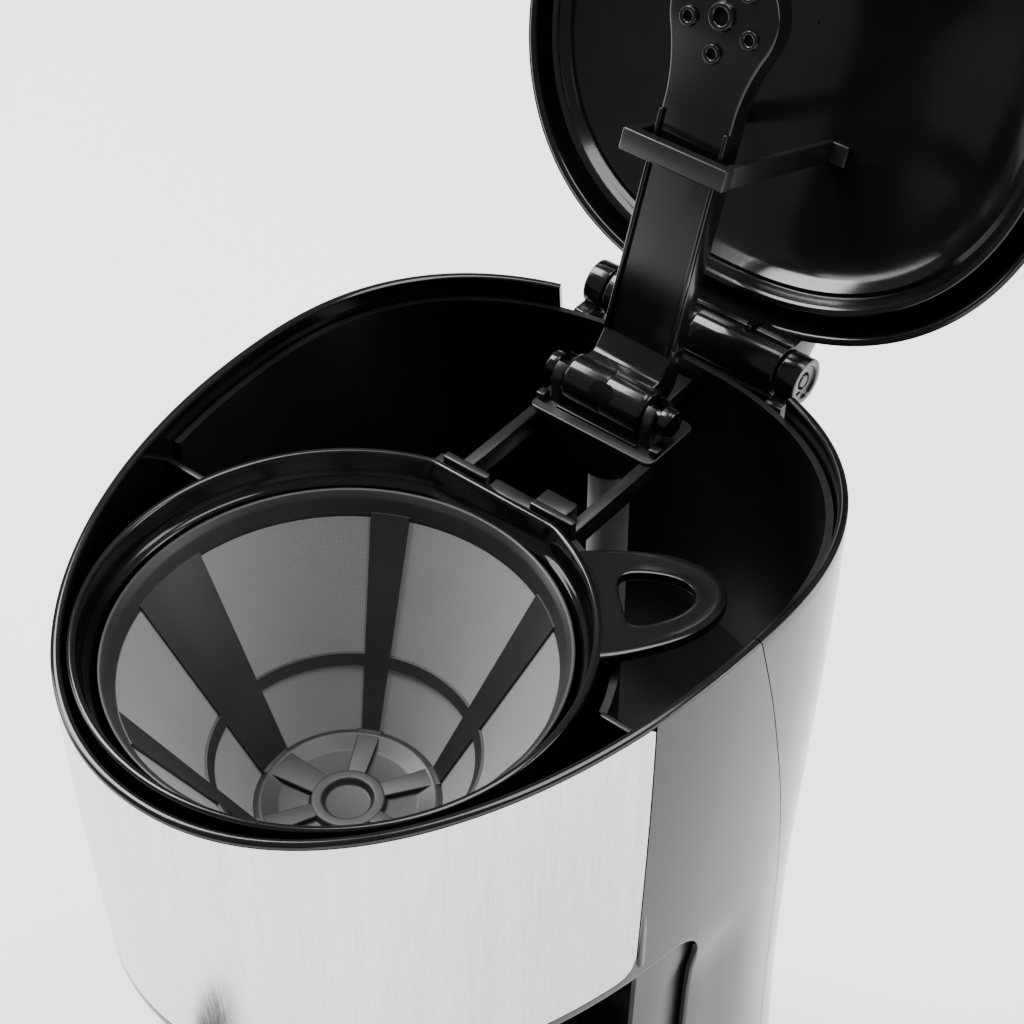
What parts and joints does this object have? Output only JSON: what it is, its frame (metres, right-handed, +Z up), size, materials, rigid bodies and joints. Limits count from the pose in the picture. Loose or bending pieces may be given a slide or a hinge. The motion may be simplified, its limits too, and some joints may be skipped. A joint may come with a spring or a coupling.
{
  "type": "drip coffee maker",
  "caption": "Drip coffee maker with a flip-up lid, swinging spray arm, lift-out basket with reusable filter, rear water tank and glass carafe on a warming plate.",
  "frame": {"origin": "on the standing surface, below the middle of the bounding box with the lid open", "axes": "+Z up, -Y is the front with the steel panel and the carafe's handle, +X is the right-hand side with the switch; the lid's hinge runs along X at the back"},
  "size_m": [0.1617, 0.3174, 0.4621],
  "materials": {
    "gloss_black": "glossy moulded black",
    "satin_black": "satin moulded black",
    "dark_grey": "satin dark grey",
    "brushed_panel": "fine upright brushing",
    "bright_metal": "polished",
    "cast_metal": "cast, dull",
    "coated_metal": "dark non-stick coating",
    "silicone": "translucent light grey",
    "black_rubber": "matt",
    "nylon_weave": "fine open weave",
    "clear_glass": "clear"
  },
  "bodies": {
    "housing": {"front_housing": "gloss_black", "rear_cover": "gloss_black", "steel_front_panel": "brushed_panel", "water_tank": "satin_black", "bridge_frame": "satin_black", "riser_tube": "silicone", "bottom_cover": "satin_black", "cover_screw_1": "bright_metal", "cover_screw_2": "bright_metal", "cover_screw_3": "bright_metal", "cover_screw_4": "bright_metal", "rubber_foot_1": "black_rubber", "rubber_foot_2": "black_rubber", "rubber_foot_3": "black_rubber", "rubber_foot_4": "black_rubber", "warming_plate": "coated_metal", "plate_gasket": "silicone", "heating_tube": "cast_metal", "thermostat": "bright_metal", "thermal_fuse": "cast_metal", "check_valve": "satin_black", "inlet_hose": "silicone", "outlet_hose": "silicone", "switch_bezel": "satin_black", "cord_gland": "black_rubber", "hinge_pin": "bright_metal"},
    "switch": {"power_switch": "satin_black"},
    "basket": {"basket_holder": "gloss_black", "valve_spring": "bright_metal"},
    "filter": {"filter_frame": "dark_grey", "filter_mesh": "nylon_weave"},
    "valve": {"drip_valve": "satin_black"},
    "carafe": {"carafe_glass": "clear_glass", "carafe_band": "bright_metal", "carafe_handle": "gloss_black"},
    "carafe_cover": {"carafe_lid": "gloss_black"},
    "arm": {"spray_arm": "gloss_black"},
    "top_lid": {"lid": "gloss_black", "lid_liner": "gloss_black", "lid_strap": "gloss_black"}
  },
  "joints": [
    {"name": "lid_hinge", "type": "hinge", "parent": "housing", "child": "top_lid", "pos_m": [0, 0.0813, 0.269], "axis": [-1, 0, 0], "range_deg": [-110, 0]},
    {"name": "arm_pivot", "type": "hinge", "parent": "housing", "child": "arm", "pos_m": [0, 0.0438, 0.272], "axis": [-1, 0, 0], "range_deg": [-110, 0]},
    {"name": "basket_lift", "type": "slide", "parent": "housing", "child": "basket", "axis": [0, 0, 1], "range_m": [0, 0.1]},
    {"name": "filter_lift", "type": "slide", "parent": "basket", "child": "filter", "axis": [0, 0, 1], "range_m": [0, 0.08]},
    {"name": "valve_plunger", "type": "slide", "parent": "basket", "child": "valve", "axis": [0, 0, 1], "range_m": [0, 0.003], "stiffness_N_per_m": 200, "springref_m": -0.002, "deforming": ["valve_spring"]},
    {"name": "switch_rocker", "type": "hinge", "parent": "housing", "child": "switch", "pos_m": [0.0762, -0.0317, 0.022], "axis": [0, 0, 1], "range_deg": [0, 14]},
    {"name": "carafe_slide", "type": "slide", "parent": "housing", "child": "carafe", "axis": [0, -1, 0], "range_m": [0, 0.16]},
    {"name": "carafe_lid_twist", "type": "hinge", "parent": "carafe", "child": "carafe_cover", "pos_m": [0, -0.0597, 0.165], "axis": [0, 0, 1], "range_deg": [0, 60]}
  ],
  "couplings": [
    {"joint": "arm_pivot", "follows": "lid_hinge", "ratio": 1}
  ]
}
